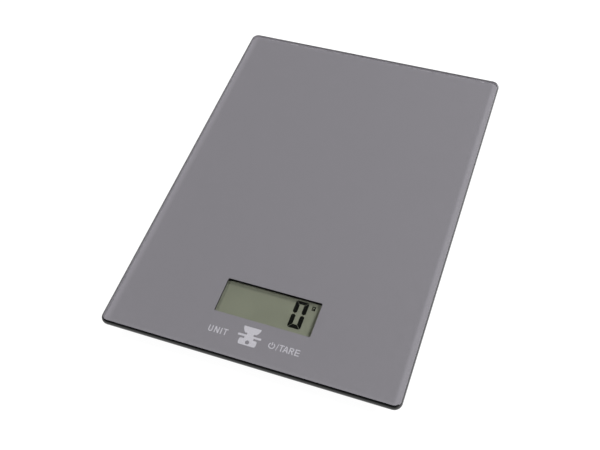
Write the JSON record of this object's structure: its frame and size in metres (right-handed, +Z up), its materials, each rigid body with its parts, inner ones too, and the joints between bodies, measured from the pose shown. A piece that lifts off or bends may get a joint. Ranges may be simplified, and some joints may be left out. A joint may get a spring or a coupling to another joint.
{
  "type": "kitchen scale",
  "caption": "Slim kitchen scale with a grey back-printed glass platform, an LCD window, touch keys and load-cell feet under a shallow base.",
  "frame": {"origin": "centre of the footprint, on the surface that the feet stand on", "axes": "+Z up out of the weighing surface, +Y along the long side away from the display, +X to the right when the display is read"},
  "size_m": [0.145, 0.2, 0.0155],
  "materials": {
    "platform_glass": "clear tempered glass, polished faces, ground edge",
    "grey_ink": "smooth grey screen ink on the back of the glass",
    "pale_ink": "pale grey screen ink",
    "black_tape": "foam tape",
    "base_plastic": "fine textured ABS",
    "door_plastic": "fine textured ABS",
    "label_film": "blank silver polyester film",
    "black_foam": "soft black foam",
    "polariser_film": "clear neutral film",
    "panel_glass": "thin clear glass",
    "panel_seal": "cured epoxy bead",
    "lcd_black": "dark liquid crystal segments",
    "lcd_ground": "olive grey reflective background",
    "reflector_foil": "satin foil",
    "frame_plastic": "natural white moulding",
    "zebra_rubber": "striped silicone rubber",
    "board_laminate": "green solder mask",
    "chip_epoxy": "black epoxy drop",
    "plated_metal": "bright plated can",
    "capacitor_ceramic": "brown ceramic with tinned ends",
    "conductive_foam": "grey conductive foam",
    "screw_steel": "zinc-plated steel",
    "load_cell_steel": "blanked alloy steel",
    "carrier_plastic": "glass-filled nylon",
    "gauge_foil": "amber film",
    "white_sealant": "white silicone",
    "cell_steel": "nickel-plated steel",
    "seal_plastic": "polypropylene seal",
    "contact_nickel": "nickel-plated spring strip",
    "lead_insulation": "thin wire insulation",
    "foot_plastic": "dark grey nylon",
    "pad_rubber": "black rubber"
  },
  "bodies": {
    "platform_unit": {"glass_platform": "platform_glass", "grey_back_print": "grey_ink", "legend_print": "pale_ink", "housing_tape": "black_tape", "base_cover": "base_plastic", "rating_label": "label_film", "display_gasket": "black_foam", "lcd_polariser": "polariser_film", "lcd_front_glass": "panel_glass", "lcd_edge_seal": "panel_seal", "lcd_segments": "lcd_black", "lcd_rear_glass": "lcd_ground", "lcd_reflector": "reflector_foil", "lcd_frame": "frame_plastic", "zebra_strip": "zebra_rubber", "main_pcb": "board_laminate", "controller_chip": "chip_epoxy", "clock_crystal": "plated_metal", "chip_capacitors": "capacitor_ceramic", "touch_electrode_unit": "conductive_foam", "touch_electrode_tare": "conductive_foam", "pcb_screws": "screw_steel", "strain_gauges": "gauge_foil", "gauge_sealant": "white_sealant", "load_cell_screws": "screw_steel", "cover_screws": "screw_steel", "coin_cell_can": "cell_steel", "coin_cell_cap": "cell_steel", "coin_cell_seal": "seal_plastic", "positive_contact": "contact_nickel", "negative_contact": "contact_nickel", "battery_leads": "lead_insulation", "load_cell_plate_front_left": "load_cell_steel", "load_cell_carrier_front_left": "carrier_plastic", "load_cell_leads_front_left": "lead_insulation", "load_cell_plate_front_right": "load_cell_steel", "load_cell_carrier_front_right": "carrier_plastic", "load_cell_leads_front_right": "lead_insulation", "load_cell_plate_back_left": "load_cell_steel", "load_cell_carrier_back_left": "carrier_plastic", "load_cell_leads_back_left": "lead_insulation", "load_cell_plate_back_right": "load_cell_steel", "load_cell_carrier_back_right": "carrier_plastic", "load_cell_leads_back_right": "lead_insulation"},
    "foot_unit_front_left": {"foot_front_left": "foot_plastic", "foot_pad_front_left": "pad_rubber", "foot_screw_front_left": "screw_steel"},
    "foot_unit_front_right": {"foot_front_right": "foot_plastic", "foot_pad_front_right": "pad_rubber", "foot_screw_front_right": "screw_steel"},
    "foot_unit_back_left": {"foot_back_left": "foot_plastic", "foot_pad_back_left": "pad_rubber", "foot_screw_back_left": "screw_steel"},
    "foot_unit_back_right": {"foot_back_right": "foot_plastic", "foot_pad_back_right": "pad_rubber", "foot_screw_back_right": "screw_steel"},
    "battery_door_unit": {"battery_door": "door_plastic"}
  },
  "joints": [
    {"name": "load_travel_front_left", "type": "slide", "parent": "platform_unit", "child": "foot_unit_front_left", "axis": [0, 0, 1], "range_m": [0, 0.0005], "stiffness_N_per_m": 25000, "deforming": ["load_cell_plate_front_left"]},
    {"name": "load_travel_front_right", "type": "slide", "parent": "platform_unit", "child": "foot_unit_front_right", "axis": [0, 0, 1], "range_m": [0, 0.0005], "stiffness_N_per_m": 25000, "deforming": ["load_cell_plate_front_right"]},
    {"name": "load_travel_back_left", "type": "slide", "parent": "platform_unit", "child": "foot_unit_back_left", "axis": [0, 0, 1], "range_m": [0, 0.0005], "stiffness_N_per_m": 25000, "deforming": ["load_cell_plate_back_left"]},
    {"name": "load_travel_back_right", "type": "slide", "parent": "platform_unit", "child": "foot_unit_back_right", "axis": [0, 0, 1], "range_m": [0, 0.0005], "stiffness_N_per_m": 25000, "deforming": ["load_cell_plate_back_right"]},
    {"name": "battery_door_hinge", "type": "hinge", "parent": "platform_unit", "child": "battery_door_unit", "pos_m": [0, 0.0112, 0.0037], "axis": [-1, 0, 0], "range_deg": [0, 75]}
  ]
}
